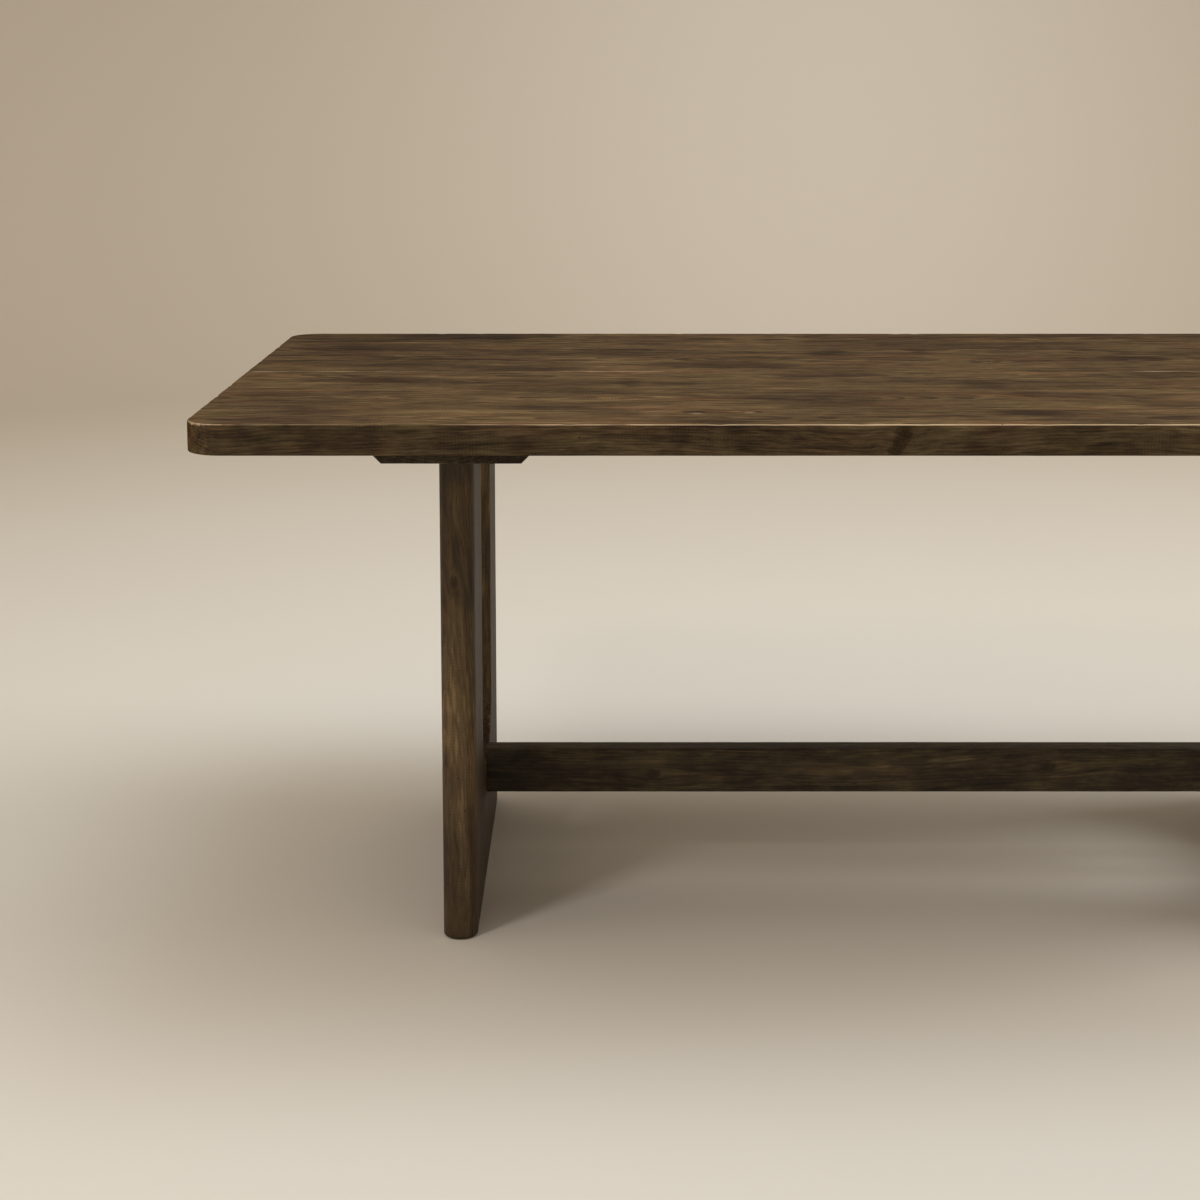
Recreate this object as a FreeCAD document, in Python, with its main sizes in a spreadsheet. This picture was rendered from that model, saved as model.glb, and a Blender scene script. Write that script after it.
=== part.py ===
import FreeCAD, Part

import os

import Sketcher
from FreeCAD import Placement, Rotation, Vector

# Trestle dining table, in millimetres. The origin is on the floor under the middle of the top;
# +X runs along the table, +Y to its back and +Z up.
# The top is edge-glued from boards with stopped tongues. Each trestle is a slotted panel of three
# glued boards, tenoned into a bevelled bearer that bolts to the top. A stretcher joins the trestles.

os.makedirs("parts", exist_ok=True)
doc = FreeCAD.newDocument("trestle_dining_table")

# ---------------------------------------------------------------- driving dimensions

SIZES = [
    ("table_length", 2000, "overall length of the top"),
    ("table_width", 1016, "overall width of the top"),
    ("table_height", 762, "floor to the top face"),
    ("top_thickness", 41, "thickness of the top boards"),
    ("corner_radius", 50, "plan radius of the four corners of the top"),
    ("top_round", 3, "rounding of the upper arris of the top"),
    ("under_round", 2, "rounding of the lower arris of the top"),
    ("seam_bevel", 0.5, "eased edge along each glued seam of the top"),
    ("inner_boards", 4, "number of full-width boards between the two edge boards"),
    ("inner_board_width", 190.5, "width of a full board of the top"),
    ("tongue_thickness", 10, "thickness of a board's tongue"),
    ("tongue_depth", 10, "how far a tongue stands out of its board"),
    ("tongue_stop", 60, "how far a tongue stops short of the ends of the top"),
    ("glue_gap", 0.2, "play around tongues, tenons and dowels at their sides"),
    ("end_gap", 0.6, "space left past the end of tongues, tenons and dowels"),
    ("leg_overhang", 308.5, "end of the top to the outer face of a leg"),
    ("leg_thickness", 48, "thickness of a leg panel"),
    ("post_width", 190.5, "width of each post beside the slot"),
    ("slot_width", 238, "width of the slot through a leg panel"),
    ("slot_corner", 80, "radius of the lower corners of the slot"),
    ("slot_floor", 172, "height of the lower end of the slot above the floor"),
    ("slot_round", 2.5, "rounding of the arrises of the slot"),
    ("foot_bevel", 1.5, "eased edge around the foot of a leg panel"),
    ("key_board_width", 122, "width of the short board that joins the two posts"),
    ("bearer_width", 215, "width of a bearer across its upper face"),
    ("bearer_length", 788, "length of a bearer across the table"),
    ("bearer_thickness", 30, "thickness of a bearer"),
    ("bearer_bevel", 15, "bevel along the lower long edges of a bearer"),
    ("bearer_round", 1.5, "rounding of a bearer's arrises, except against the top"),
    ("post_tenon_thickness", 20, "thickness of the stub tenon on a post"),
    ("post_tenon_width", 130, "width of the stub tenon on a post"),
    ("post_tenon_length", 14, "length of the stub tenon on a post"),
    ("stretcher_thickness", 38, "thickness of the stretcher"),
    ("stretcher_depth", 68, "height of the stretcher's section"),
    ("stretcher_lift", 117, "floor to the stretcher's underside"),
    ("stretcher_round", 2.5, "rounding of the stretcher's long arrises"),
    ("rail_tenon_thickness", 20, "thickness of the stretcher's tenons"),
    ("rail_tenon_height", 34, "height of the stretcher's tenons"),
    ("rail_tenon_length", 24, "length of the stretcher's tenons"),
    ("rail_tenon_lift", 10, "stretcher's underside to the underside of its tenon"),
    ("bolt_radius", 4, "shank radius of the connector bolts"),
    ("bolt_play", 0.3, "play of a bolt in a wooden hole, on the radius"),
    ("bolt_head_radius", 8.5, "radius of a connector bolt's flat head"),
    ("bolt_head_height", 2.5, "height of a connector bolt's flat head"),
    ("socket_radius", 2.9, "corner radius of the hexagonal socket in a bolt head"),
    ("socket_depth", 1.8, "depth of that socket"),
    ("washer_radius", 9.5, "outer radius of a washer"),
    ("washer_thickness", 1.6, "thickness of a washer"),
    ("top_bolt_length", 45, "shank length of the bolts from bearer to top"),
    ("top_bolt_offset", 58, "middle of a leg to the bolts at each side of it"),
    ("slide_length", 14, "end-to-end length of the bearer's slotted bolt holes"),
    ("insert_radius", 6, "outer radius of a threaded insert"),
    ("insert_length", 18, "length of a threaded insert"),
    ("rail_bolt_length", 90, "shank length of a stretcher bolt"),
    ("rail_bolt_recess", 6, "depth of the recess for a stretcher bolt's head"),
    ("recess_play", 1, "play around a washer in its recess, on the radius"),
    ("cross_nut_radius", 7, "radius of a cross nut in the stretcher"),
    ("cross_nut_height", 26, "height of a cross nut"),
    ("cross_nut_inset", 40, "stretcher's shoulder to the middle of a cross nut"),
    ("coach_radius", 4, "shank radius of a coach screw"),
    ("coach_length", 90, "shank length of a coach screw"),
    ("coach_head_radius", 7.5, "corner radius of a coach screw's hexagonal head"),
    ("coach_head_height", 5.3, "height of a coach screw's head"),
    ("coach_recess", 8, "depth of the recess for a coach screw's head"),
    ("coach_spacing", 70, "distance between the two coach screws of a post"),
    ("dowel_radius", 5, "radius of the dowels in a leg panel"),
    ("dowel_length", 50, "length of those dowels"),
    ("lower_dowel", 40, "floor to the lower dowels"),
    ("upper_dowel", 125, "floor to the upper dowels"),
    ("glide_radius", 14, "radius of a foot glide"),
    ("glide_height", 5, "thickness of a foot glide"),
    ("glide_proud", 1, "how far a glide stands out under its leg"),
    ("glide_inset", 45, "edge of a leg board to the middle of a glide"),
    ("glide_screw_radius", 2, "shank radius of a glide's screw"),
    ("glide_screw_length", 22, "shank length of a glide's screw"),
    ("glide_head_radius", 4, "head radius of a glide's screw"),
    ("glide_head_height", 2, "head height of a glide's screw"),
    ("glide_head_sink", 0.6, "how far that head lies inside the glide's lower face"),
]

sheet = doc.addObject("Spreadsheet::Sheet", "Sizes")
for row, (alias, size, meaning) in enumerate(SIZES, start=1):
    sheet.set(f"A{row}", alias)
    sheet.set(f"B{row}", str(size))
    sheet.set(f"C{row}", meaning)
    sheet.setAlias(f"B{row}", alias)
doc.recompute()

# Derived places, as expressions on the sheet.
TOP_UNDERSIDE = "(Sizes.table_height - Sizes.top_thickness)"
BEARER_UNDERSIDE = f"({TOP_UNDERSIDE} - Sizes.bearer_thickness)"
LEG_PLACE = "(Sizes.table_length / 2 - Sizes.leg_overhang - Sizes.leg_thickness / 2)"
LEG_WIDTH = "(Sizes.slot_width + 2 * Sizes.post_width)"
NOSE_MIDDLE = f"(({LEG_WIDTH} - Sizes.leg_thickness) / 2)"
POST_MIDDLE = "((Sizes.slot_width + Sizes.post_width) / 2)"
SEAM_SIDE = "(Sizes.key_board_width / 2)"
STRETCHER_HALF = f"({LEG_PLACE} - Sizes.leg_thickness / 2)"
RAIL_TENON_FLOOR = "(Sizes.stretcher_lift + Sizes.rail_tenon_lift)"
RAIL_BOLT_HEIGHT = f"({RAIL_TENON_FLOOR} + Sizes.rail_tenon_height / 2)"
COACH_SEAT = f"({TOP_UNDERSIDE} - Sizes.coach_recess + Sizes.washer_thickness)"
GLIDE_HEAD_SEAT = "(Sizes.glide_head_sink + Sizes.glide_head_height)"
GLIDE_PLACES = (f"({LEG_WIDTH} / 2 - Sizes.glide_inset)", f"({SEAM_SIDE} + Sizes.glide_inset)")
COACH_PLACES = (
    f"({POST_MIDDLE} - Sizes.coach_spacing / 2)",
    f"({POST_MIDDLE} + Sizes.coach_spacing / 2)",
)
RAIL_BOLT_SEAT = "(Sizes.rail_bolt_recess - Sizes.leg_thickness / 2 - Sizes.washer_thickness)"

nodes = {}
TOLERANCE = 1e-4
UPSIDE_DOWN = Rotation(Vector(1, 0, 0), 180)
TOWARDS_X = Rotation(Vector(0, 1, 0), 90)
TOWARDS_FRONT = Rotation(Vector(1, 0, 0), 90)


def value(expression):
    """The number that an expression on the sheet stands for."""
    return float(sheet.evalExpression(expression))


def keep(made, label):
    """Register a finished sub-part under its label."""
    made.Label = label
    nodes[label] = made
    return made


def place(made, x="0", y="0", z="0", rotation=None):
    """Set the rotation of an object and bind its position to the sheet."""
    if rotation is not None:
        made.Placement = Placement(Vector(), rotation)
    for axis, expression in zip("xyz", (x, y, z)):
        made.setExpression(f"Placement.Base.{axis}", expression)
    return made


# ---------------------------------------------------------------- sketches and features


def new_body(label):
    return keep(doc.addObject("PartDesign::Body", label), label)


def new_sketch(body, role, offset="0"):
    """An empty sketch on one of the body's own planes, moved along its normal."""
    plane = next(item for item in body.Origin.OriginFeatures if item.Role == role)
    sketch = body.newObject("Sketcher::SketchObject", f"{body.Name}_sketch")
    sketch.AttachmentSupport = [(plane, "")]
    sketch.MapMode = "FlatFace"
    sketch.setExpression("AttachmentOffset.Base.z", offset)
    return sketch


def bind(sketch, kind, geometry, point, expression):
    """Hold a sketch point at a distance from the sketch's origin."""
    number = sketch.addConstraint(
        Sketcher.Constraint(kind, -1, 1, geometry, point, value(expression))
    )
    sketch.setExpression(f"Constraints[{number}]", expression)


def bind_radius(sketch, geometry, expression):
    number = sketch.addConstraint(Sketcher.Constraint("Radius", geometry, value(expression)))
    sketch.setExpression(f"Constraints[{number}]", expression)


def chain(sketch, first, count):
    """Close a loop of curves end to start."""
    for step in range(count):
        after = first + (step + 1) % count
        sketch.addConstraint(Sketcher.Constraint("Coincident", first + step, 2, after, 1))


def rectangle(sketch, left, right, bottom, top):
    """A rectangle with each side placed from the sketch's origin."""
    x_low, x_high, y_low, y_high = (value(side) for side in (left, right, bottom, top))
    corners = [
        Vector(x_low, y_low, 0),
        Vector(x_high, y_low, 0),
        Vector(x_high, y_high, 0),
        Vector(x_low, y_high, 0),
    ]
    first = sketch.GeometryCount
    for step in range(4):
        sketch.addGeometry(Part.LineSegment(corners[step], corners[(step + 1) % 4]))
    chain(sketch, first, 4)
    for step in (0, 2):
        sketch.addConstraint(Sketcher.Constraint("Horizontal", first + step))
        sketch.addConstraint(Sketcher.Constraint("Vertical", first + step + 1))
    bind(sketch, "DistanceX", first, 1, left)
    bind(sketch, "DistanceY", first, 1, bottom)
    bind(sketch, "DistanceX", first + 2, 1, right)
    bind(sketch, "DistanceY", first + 2, 1, top)


def circle(sketch, x, y, radius):
    centre = Vector(value(x), value(y), 0)
    number = sketch.addGeometry(Part.Circle(centre, Vector(0, 0, 1), value(radius)))
    bind(sketch, "DistanceX", number, 3, x)
    bind(sketch, "DistanceY", number, 3, y)
    bind_radius(sketch, number, radius)


def arc(sketch, centre, radius, start, end):
    """A counter-clockwise arc between two angles in quarter turns."""
    quarter = FreeCAD.Units.Quantity("90 deg").getValueAs("rad").Value
    round_line = Part.Circle(centre, Vector(0, 0, 1), radius)
    return sketch.addGeometry(Part.ArcOfCircle(round_line, start * quarter, end * quarter))


def long_hole(sketch, x, y, length, radius):
    """A hole with two round ends that runs along the sketch's Y."""
    reach = f"(({length}) / 2 - {radius})"
    x_mid, y_mid, r, half = value(x), value(y), value(radius), value(reach)
    up, right = Vector(0, half, 0), Vector(r, 0, 0)
    middle = Vector(x_mid, y_mid, 0)
    low = arc(sketch, middle - up, r, 2, 4)
    sketch.addGeometry(Part.LineSegment(middle + right - up, middle + right + up))
    high = arc(sketch, middle + up, r, 0, 2)
    sketch.addGeometry(Part.LineSegment(middle - right + up, middle - right - up))
    for step in range(4):
        after = low + (step + 1) % 4
        sketch.addConstraint(Sketcher.Constraint("Tangent", low + step, 2, after, 1))
    bind(sketch, "DistanceX", low, 3, x)
    bind(sketch, "DistanceY", low, 3, f"{y} - {reach}")
    bind(sketch, "DistanceY", high, 3, f"{y} + {reach}")
    bind_radius(sketch, low, radius)


def pad(body, sketch, length, middle=False):
    feature = body.newObject("PartDesign::Pad", f"{body.Name}_pad")
    feature.Profile = sketch
    feature.setExpression("Length", length)
    feature.Midplane = middle
    doc.recompute()
    return feature


def pocket(body, sketch, depth, along_normal=False, middle=False):
    """Cut a sketch into the body and make sure that the cut removes material."""
    before = body.Shape.Volume
    feature = body.newObject("PartDesign::Pocket", f"{body.Name}_pocket")
    feature.Profile = sketch
    feature.setExpression("Length", depth)
    feature.Reversed = along_normal
    feature.Midplane = middle
    doc.recompute()
    if not body.Shape.Volume < before:
        raise RuntimeError(f"{feature.Name} cuts nothing")
    return feature


def edge_names(shape, wanted):
    return [f"Edge{i}" for i, edge in enumerate(shape.Edges, start=1) if wanted(edge)]


def lies_at(edge, axis, position):
    """True where the whole edge lies in the plane across an axis at a position."""
    box = edge.BoundBox
    low = getattr(box, f"{axis.upper()}Min")
    high = getattr(box, f"{axis.upper()}Max")
    return abs(low - position) < TOLERANCE and abs(high - position) < TOLERANCE


def dress(body, kind, size_name, size, wanted):
    """Fillet or chamfer the body's edges that the test picks."""
    base = body.Tip
    names = edge_names(base.Shape, wanted)
    if not names:
        raise RuntimeError(f"{body.Name} has no edge to dress")
    feature = body.newObject(kind, f"{body.Name}_edges")
    feature.Base = (base, names)
    feature.setExpression(size_name, size)
    doc.recompute()
    return feature


def fillet(body, radius, wanted):
    return dress(body, "PartDesign::Fillet", "Radius", radius, wanted)


def chamfer(body, size, wanted):
    return dress(body, "PartDesign::Chamfer", "Size", size, wanted)


# ---------------------------------------------------------------- the top

board_count = round(value("Sizes.inner_boards"))


def seam_place(number):
    """Position across the table of a seam, counted from the front."""
    return f"({number} - Sizes.inner_boards / 2) * Sizes.inner_board_width"


def board_middle(number):
    return f"({number} + 0.5 - Sizes.inner_boards / 2) * Sizes.inner_board_width"


def top_board(label, front, back, front_seam, back_seam):
    """One board of the top: a tongue at its back seam, a groove at its front seam."""
    body = new_body(label)
    place(body, y=f"(({front}) + ({back})) / 2", z=TOP_UNDERSIDE)
    half = f"((({back}) - ({front})) / 2)"
    tongue_half = "(Sizes.table_length / 2 - Sizes.tongue_stop)"
    tongue_floor = "((Sizes.top_thickness - Sizes.tongue_thickness) / 2)"

    outline = new_sketch(body, "XY_Plane")
    rectangle(outline, "-Sizes.table_length / 2", "Sizes.table_length / 2", f"-{half}", half)
    pad(body, outline, "Sizes.top_thickness")
    if back_seam:
        tongue = new_sketch(body, "XY_Plane", tongue_floor)
        rectangle(tongue, f"-{tongue_half}", tongue_half, "0", f"{half} + Sizes.tongue_depth")
        pad(body, tongue, "Sizes.tongue_thickness")
    if front_seam:
        groove = new_sketch(body, "XY_Plane", f"{tongue_floor} - Sizes.glue_gap")
        reach = f"({tongue_half} + Sizes.end_gap)"
        floor = f"Sizes.tongue_depth + Sizes.end_gap - {half}"
        rectangle(groove, f"-{reach}", reach, f"-{half} - Sizes.tongue_depth", floor)
        pocket(body, groove, "Sizes.tongue_thickness + 2 * Sizes.glue_gap", along_normal=True)

    thickness = value("Sizes.top_thickness")
    end, side = value("Sizes.table_length / 2"), value(half)
    seams = [at for at, is_seam in ((-side, front_seam), (side, back_seam)) if is_seam]
    outer = [at for at in (-side, side) if at not in seams]

    def corner(edge):
        at_end = lies_at(edge, "x", -end) or lies_at(edge, "x", end)
        return at_end and any(lies_at(edge, "y", at) for at in outer)

    def rim(edge, height):
        return lies_at(edge, "z", height) and not any(lies_at(edge, "y", at) for at in seams)

    def seam_arris(edge):
        return lies_at(edge, "z", thickness) and any(lies_at(edge, "y", at) for at in seams)

    if front_seam and back_seam:
        holes = new_sketch(body, "XY_Plane")
        for side_sign in ("-", ""):
            for bolt_sign in ("-", "+"):
                across = f"{side_sign}{LEG_PLACE} {bolt_sign} Sizes.top_bolt_offset"
                circle(holes, across, "0", "Sizes.insert_radius")
        pocket(body, holes, "Sizes.insert_length + Sizes.end_gap", along_normal=True)
    else:
        fillet(body, "Sizes.corner_radius", corner)
    fillet(body, "Sizes.top_round", lambda edge: rim(edge, thickness))
    fillet(body, "Sizes.under_round", lambda edge: rim(edge, 0))
    chamfer(body, "Sizes.seam_bevel", seam_arris)


def make_top():
    front, back = "(-Sizes.table_width / 2)", "(Sizes.table_width / 2)"
    top_board("top_board_1", front, seam_place(0), False, True)
    for number in range(board_count):
        label = f"top_board_{number + 2}"
        top_board(label, seam_place(number), seam_place(number + 1), True, True)
    top_board(f"top_board_{board_count + 2}", seam_place(board_count), back, True, False)


# ---------------------------------------------------------------- the trestles
# A trestle is drawn about its own middle on the floor, with +X towards the middle of the table.


def set_trestle(made, side, turned=False):
    """Stand a sub-part at the left or right end; the right trestle is turned round."""
    half_turns = (1 if side == "right" else 0) + (1 if turned else 0)
    sign = "" if side == "right" else "-"
    return place(made, x=f"{sign}{LEG_PLACE}", rotation=Rotation(Vector(0, 0, 1), 180 * half_turns))


def top_bolt_spots():
    """Across, along and slotted or not, for each bolt from a bearer into the top."""
    for number in range(board_count):
        slotted = number in (0, board_count - 1)
        for sign in ("-", ""):
            yield f"{sign}Sizes.top_bolt_offset", board_middle(number), slotted


def coach_spots():
    for sign in ("-", ""):
        for along in COACH_PLACES:
            yield f"{sign}{along}"


def make_bearer(side):
    body = set_trestle(new_body(f"bearer_{side}"), side)
    half_width, half_length = "Sizes.bearer_width / 2", "Sizes.bearer_length / 2"
    outline = new_sketch(body, "XY_Plane", BEARER_UNDERSIDE)
    rectangle(outline, f"-{half_width}", half_width, f"-{half_length}", half_length)
    pad(body, outline, "Sizes.bearer_thickness")

    underside, edge_x = value(BEARER_UNDERSIDE), value(half_width)

    def lower_long_edge(edge):
        at_side = lies_at(edge, "x", -edge_x) or lies_at(edge, "x", edge_x)
        return at_side and lies_at(edge, "z", underside)

    chamfer(body, "Sizes.bearer_bevel", lower_long_edge)
    ceiling = value(TOP_UNDERSIDE)
    fillet(body, "Sizes.bearer_round", lambda edge: not lies_at(edge, "z", ceiling))

    mortises = new_sketch(body, "XY_Plane", BEARER_UNDERSIDE)
    cheek = "(Sizes.post_tenon_thickness / 2 + Sizes.glue_gap)"
    reach = "(Sizes.post_tenon_width / 2 + Sizes.glue_gap)"
    for sign in ("-", ""):
        low, high = f"{sign}{POST_MIDDLE} - {reach}", f"{sign}{POST_MIDDLE} + {reach}"
        rectangle(mortises, f"-{cheek}", cheek, low, high)
    pocket(body, mortises, "Sizes.post_tenon_length + Sizes.end_gap", along_normal=True)

    recesses = new_sketch(body, "XY_Plane", TOP_UNDERSIDE)
    for along in coach_spots():
        circle(recesses, "0", along, "Sizes.washer_radius + Sizes.recess_play")
    pocket(body, recesses, "Sizes.coach_recess")

    holes = new_sketch(body, "XY_Plane", BEARER_UNDERSIDE)
    for along in coach_spots():
        circle(holes, "0", along, "Sizes.coach_radius + Sizes.bolt_play")
    for across, along, slotted in top_bolt_spots():
        if slotted:
            long_hole(holes, across, along, "Sizes.slide_length", "Sizes.bolt_radius + Sizes.bolt_play")
        else:
            circle(holes, across, along, "Sizes.bolt_radius + Sizes.bolt_play")
    pocket(body, holes, "Sizes.bearer_thickness", along_normal=True)


def cut_slot(body):
    """Cut the trestle's slot, open at the bearer and round in its lower corners."""
    sketch = new_sketch(body, "YZ_Plane")
    half, radius = value("Sizes.slot_width / 2"), value("Sizes.slot_corner")
    floor, ceiling = value("Sizes.slot_floor"), value(BEARER_UNDERSIDE)
    flat, spring = half - radius, floor + radius
    sketch.addGeometry(Part.LineSegment(Vector(-half, ceiling, 0), Vector(-half, spring, 0)))
    left = arc(sketch, Vector(-flat, spring, 0), radius, 2, 3)
    sketch.addGeometry(Part.LineSegment(Vector(-flat, floor, 0), Vector(flat, floor, 0)))
    right = arc(sketch, Vector(flat, spring, 0), radius, 3, 4)
    sketch.addGeometry(Part.LineSegment(Vector(half, spring, 0), Vector(half, ceiling, 0)))
    sketch.addGeometry(Part.LineSegment(Vector(half, ceiling, 0), Vector(-half, ceiling, 0)))
    for step in range(4):
        sketch.addConstraint(Sketcher.Constraint("Tangent", step, 2, step + 1, 1))
    sketch.addConstraint(Sketcher.Constraint("Coincident", 4, 2, 5, 1))
    sketch.addConstraint(Sketcher.Constraint("Coincident", 5, 2, 0, 1))
    sketch.addConstraint(Sketcher.Constraint("Horizontal", 2))
    sketch.addConstraint(Sketcher.Constraint("Horizontal", 5))
    bind(sketch, "DistanceX", 0, 1, "-Sizes.slot_width / 2")
    bind(sketch, "DistanceX", 4, 2, "Sizes.slot_width / 2")
    bind(sketch, "DistanceY", 0, 1, BEARER_UNDERSIDE)
    bind(sketch, "DistanceY", 2, 1, "Sizes.slot_floor")
    bind_radius(sketch, left, "Sizes.slot_corner")
    bind_radius(sketch, right, "Sizes.slot_corner")
    pocket(body, sketch, "2 * Sizes.leg_thickness", middle=True)


def round_slot(body, sides):
    """Round the slot's arrises on both faces of the panel, but no edge along the given sides."""
    face = value("Sizes.leg_thickness / 2")
    foot, head = value("Sizes.glide_proud"), value(BEARER_UNDERSIDE)

    def slot_arris(edge):
        on_face = lies_at(edge, "x", -face) or lies_at(edge, "x", face)
        at_end = lies_at(edge, "z", foot) or lies_at(edge, "z", head)
        at_side = any(lies_at(edge, "y", at) for at in sides)
        return on_face and not at_end and not at_side

    fillet(body, "Sizes.slot_round", slot_arris)


def ease_foot(body, seams):
    """Bevel the outer edges of the foot, but not along the glued seams."""
    foot = value("Sizes.glide_proud")

    def foot_edge(edge):
        return lies_at(edge, "z", foot) and not any(lies_at(edge, "y", at) for at in seams)

    chamfer(body, "Sizes.foot_bevel", foot_edge)


def dowel_holes(body, face, towards_front):
    """Blind dowel holes in a seam face of a leg board, drilled away from the seam."""
    holes = new_sketch(body, "XZ_Plane", face)
    for height in ("Sizes.lower_dowel", "Sizes.upper_dowel"):
        circle(holes, "0", height, "Sizes.dowel_radius + Sizes.glue_gap")
    depth = "Sizes.dowel_length / 2 + Sizes.end_gap"
    pocket(body, holes, depth, along_normal=towards_front)


def make_post_board(side, name, turned):
    """A full-height board: one post of the trestle, with its half of the slot cut from it."""
    body = set_trestle(new_body(f"leg_{side}_{name}_board"), side, turned)
    half, nose, seam = "Sizes.leg_thickness / 2", NOSE_MIDDLE, SEAM_SIDE
    outline = new_sketch(body, "XY_Plane", "Sizes.glide_proud")
    h, n, s = value(half), value(nose), value(seam)
    outline.addGeometry(Part.LineSegment(Vector(h, -n, 0), Vector(h, -s, 0)))
    outline.addGeometry(Part.LineSegment(Vector(h, -s, 0), Vector(-h, -s, 0)))
    outline.addGeometry(Part.LineSegment(Vector(-h, -s, 0), Vector(-h, -n, 0)))
    round_edge = arc(outline, Vector(0, -n, 0), h, 2, 4)
    outline.addConstraint(Sketcher.Constraint("Coincident", 0, 2, 1, 1))
    outline.addConstraint(Sketcher.Constraint("Coincident", 1, 2, 2, 1))
    outline.addConstraint(Sketcher.Constraint("Tangent", 2, 2, round_edge, 1))
    outline.addConstraint(Sketcher.Constraint("Tangent", round_edge, 2, 0, 1))
    outline.addConstraint(Sketcher.Constraint("Horizontal", 1))
    outline.addConstraint(Sketcher.Constraint("Vertical", 0))
    bind(outline, "DistanceX", 0, 2, half)
    bind(outline, "DistanceX", 1, 2, f"-{half}")
    bind(outline, "DistanceY", 1, 1, f"-{seam}")
    bind(outline, "DistanceY", round_edge, 3, f"-{nose}")
    pad(body, outline, f"{BEARER_UNDERSIDE} - Sizes.glide_proud")
    cut_slot(body)
    round_slot(body, [-s, -n])
    ease_foot(body, [-s])

    tenon = new_sketch(body, "XY_Plane", f"{BEARER_UNDERSIDE} - Sizes.post_tenon_length")
    cheek, reach = "Sizes.post_tenon_thickness / 2", "Sizes.post_tenon_width / 2"
    rectangle(tenon, f"-{cheek}", cheek, f"-{POST_MIDDLE} - {reach}", f"-{POST_MIDDLE} + {reach}")
    pad(body, tenon, "2 * Sizes.post_tenon_length")

    pilots = new_sketch(body, "XY_Plane", f"{COACH_SEAT} - Sizes.coach_length - Sizes.end_gap")
    for along in COACH_PLACES:
        circle(pilots, "0", f"-{along}", "Sizes.coach_radius")
    pocket(body, pilots, "Sizes.coach_length", along_normal=True)

    dowel_holes(body, SEAM_SIDE, towards_front=True)

    recesses = new_sketch(body, "XY_Plane", "Sizes.glide_proud")
    for along in GLIDE_PLACES:
        circle(recesses, "0", f"-{along}", "Sizes.glide_radius + Sizes.glue_gap")
    pocket(body, recesses, "Sizes.glide_height - Sizes.glide_proud", along_normal=True)
    screw_holes = new_sketch(body, "XY_Plane", "Sizes.glide_proud")
    for along in GLIDE_PLACES:
        circle(screw_holes, "0", f"-{along}", "Sizes.glide_screw_radius")
    pocket(body, screw_holes, f"{GLIDE_HEAD_SEAT} + Sizes.glide_screw_length", along_normal=True)


def make_key_board(side):
    """The short board between the posts, under the slot, that takes the stretcher."""
    body = set_trestle(new_body(f"leg_{side}_key_board"), side)
    half = "Sizes.leg_thickness / 2"
    outline = new_sketch(body, "XY_Plane", "Sizes.glide_proud")
    rectangle(outline, f"-{half}", half, f"-{SEAM_SIDE}", SEAM_SIDE)
    pad(body, outline, "Sizes.slot_floor + Sizes.slot_corner - Sizes.glide_proud")
    cut_slot(body)
    seam = value(SEAM_SIDE)
    round_slot(body, [-seam, seam])
    ease_foot(body, [-seam, seam])
    dowel_holes(body, SEAM_SIDE, towards_front=False)
    dowel_holes(body, f"-{SEAM_SIDE}", towards_front=True)

    mortise = new_sketch(body, "YZ_Plane", half)
    cheek = "(Sizes.rail_tenon_thickness / 2 + Sizes.glue_gap)"
    floor = f"{RAIL_TENON_FLOOR} - Sizes.glue_gap"
    ceiling = f"{RAIL_TENON_FLOOR} + Sizes.rail_tenon_height + Sizes.glue_gap"
    rectangle(mortise, f"-{cheek}", cheek, floor, ceiling)
    pocket(body, mortise, "Sizes.rail_tenon_length + Sizes.end_gap")

    recess = new_sketch(body, "YZ_Plane", f"-{half}")
    circle(recess, "0", RAIL_BOLT_HEIGHT, "Sizes.washer_radius + Sizes.recess_play")
    pocket(body, recess, "Sizes.rail_bolt_recess", along_normal=True)
    hole = new_sketch(body, "YZ_Plane", f"-{half}")
    circle(hole, "0", RAIL_BOLT_HEIGHT, "Sizes.bolt_radius + Sizes.bolt_play")
    pocket(body, hole, "Sizes.leg_thickness", along_normal=True)


# ---------------------------------------------------------------- the stretcher


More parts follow.
